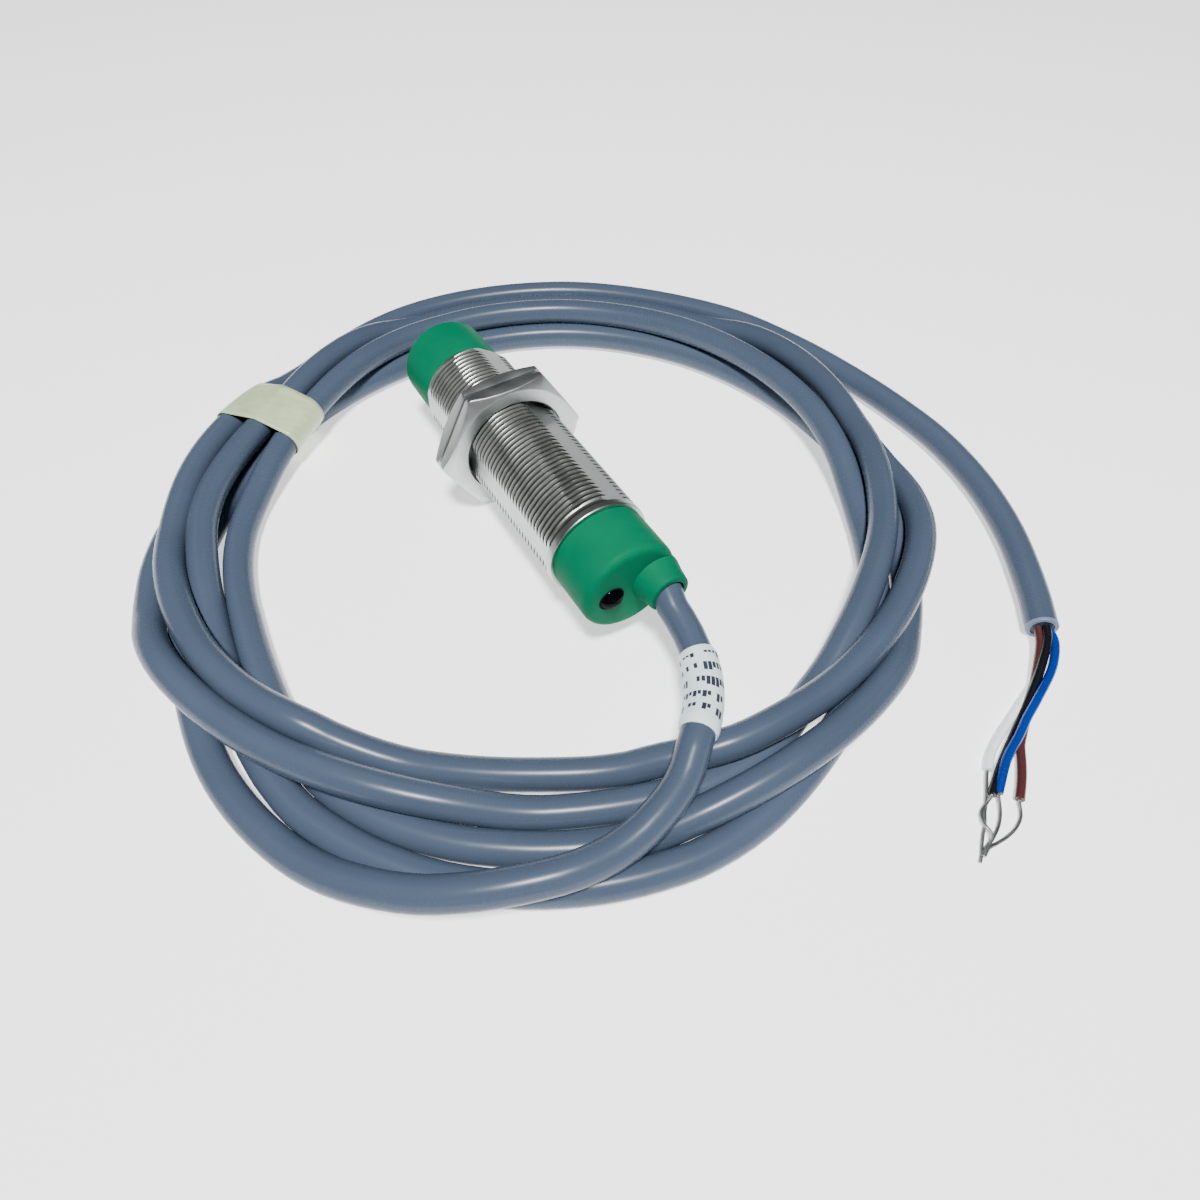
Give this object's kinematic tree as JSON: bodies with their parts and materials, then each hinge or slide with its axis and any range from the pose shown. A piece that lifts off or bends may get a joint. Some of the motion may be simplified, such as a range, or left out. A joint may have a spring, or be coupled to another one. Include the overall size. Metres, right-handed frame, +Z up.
{
  "type": "inductive proximity sensor",
  "caption": "Cylindrical threaded-barrel proximity sensor with plastic sensing cap, lock nuts and a coiled, moulded-in cable with stripped cores.",
  "frame": {"origin": "centre of the sensing face", "axes": "+Y leaves the sensing face along the barrel's axis, +Z up from the surface the sensor lies on, +X to its right"},
  "size_m": [0.1525, 0.158, 0.024],
  "materials": {
    "front_cap": "smooth satin green moulding",
    "ferrite_core": "pressed dark ferrite",
    "coil_bobbin": "ivory moulding",
    "coil_winding": "enamelled copper wire",
    "core_holder": "black moulding",
    "terminal_pins": "tinned",
    "potting_resin": "cast resin",
    "circuit_board": "glass-filled laminate with solder mask",
    "controller_chip": "black moulding",
    "output_transistor": "black moulding",
    "protection_diode": "tinted glass",
    "capacitors": "fired ceramic",
    "resistors": "dark glaze",
    "status_led": "clear amber moulding",
    "light_guide": "clear polished rod",
    "indicator_lens": "polished dark tinted lens",
    "inner_wires": "four insulated wires, each of its own colour",
    "barrel": "nickel plated, satin",
    "front_nut": "nickel plated, satin",
    "rear_nut": "nickel plated, satin",
    "front_washer": "plated",
    "rear_washer": "plated",
    "rear_cap": "smooth satin green moulding",
    "cap_seal": "black seal",
    "cable_clamp": "crimped ring",
    "cable_seal": "dark seal",
    "cable_lead": "smooth satin cable jacket",
    "cable_coil": "smooth satin cable jacket",
    "cable_tail": "smooth satin cable jacket",
    "label_sleeve": null,
    "tape_band": "pale translucent tape",
    "core_brown": "brown insulation",
    "core_blue": "blue insulation",
    "core_black": "black insulation",
    "core_white": "white insulation",
    "conductor_brown": "tinned strands",
    "conductor_blue": "tinned strands",
    "conductor_black": "tinned strands",
    "conductor_white": "tinned strands"
  },
  "bodies": {
    "housing": {"front_cap": "front_cap", "ferrite_core": "ferrite_core", "coil_bobbin": "coil_bobbin", "coil_winding": "coil_winding", "core_holder": "core_holder", "terminal_pins": "terminal_pins", "potting_resin": "potting_resin", "circuit_board": "circuit_board", "controller_chip": "controller_chip", "output_transistor": "output_transistor", "protection_diode": "protection_diode", "capacitors": "capacitors", "resistors": "resistors", "status_led": "status_led", "light_guide": "light_guide", "indicator_lens": "indicator_lens", "inner_wires": "inner_wires", "barrel": "barrel", "rear_cap": "rear_cap", "cap_seal": "cap_seal", "cable_clamp": "cable_clamp", "cable_seal": "cable_seal", "cable_lead": "cable_lead", "cable_coil": "cable_coil", "cable_tail": "cable_tail", "label_sleeve": "label_sleeve", "tape_band": "tape_band", "core_brown": "core_brown", "core_blue": "core_blue", "core_black": "core_black", "core_white": "core_white", "conductor_brown": "conductor_brown", "conductor_blue": "conductor_blue", "conductor_black": "conductor_black", "conductor_white": "conductor_white"},
    "front_washer": {"front_washer": "front_washer"},
    "front_nut": {"front_nut": "front_nut"},
    "rear_washer": {"rear_washer": "rear_washer"},
    "rear_nut": {"rear_nut": "rear_nut"}
  },
  "joints": [
    {"name": "front_nut_travel", "type": "slide", "parent": "housing", "child": "front_washer", "axis": [0, 1, 0], "range_m": [0, 0.01201]},
    {"name": "front_nut_turn", "type": "hinge", "parent": "front_washer", "child": "front_nut", "pos_m": [0, -0.0256, 0], "axis": [0, 1, 0], "range_deg": [0, 4320]},
    {"name": "rear_nut_travel", "type": "slide", "parent": "housing", "child": "rear_washer", "axis": [0, -1, 0], "range_m": [0, 0.02601]},
    {"name": "rear_nut_turn", "type": "hinge", "parent": "rear_washer", "child": "rear_nut", "pos_m": [0, -0.0287, 0], "axis": [0, -1, 0], "range_deg": [0, 9360]}
  ],
  "couplings": [
    {"joint": "front_nut_travel", "follows": "front_nut_turn", "m_per_rad": 0.00015915},
    {"joint": "rear_nut_travel", "follows": "rear_nut_turn", "m_per_rad": 0.00015915}
  ]
}
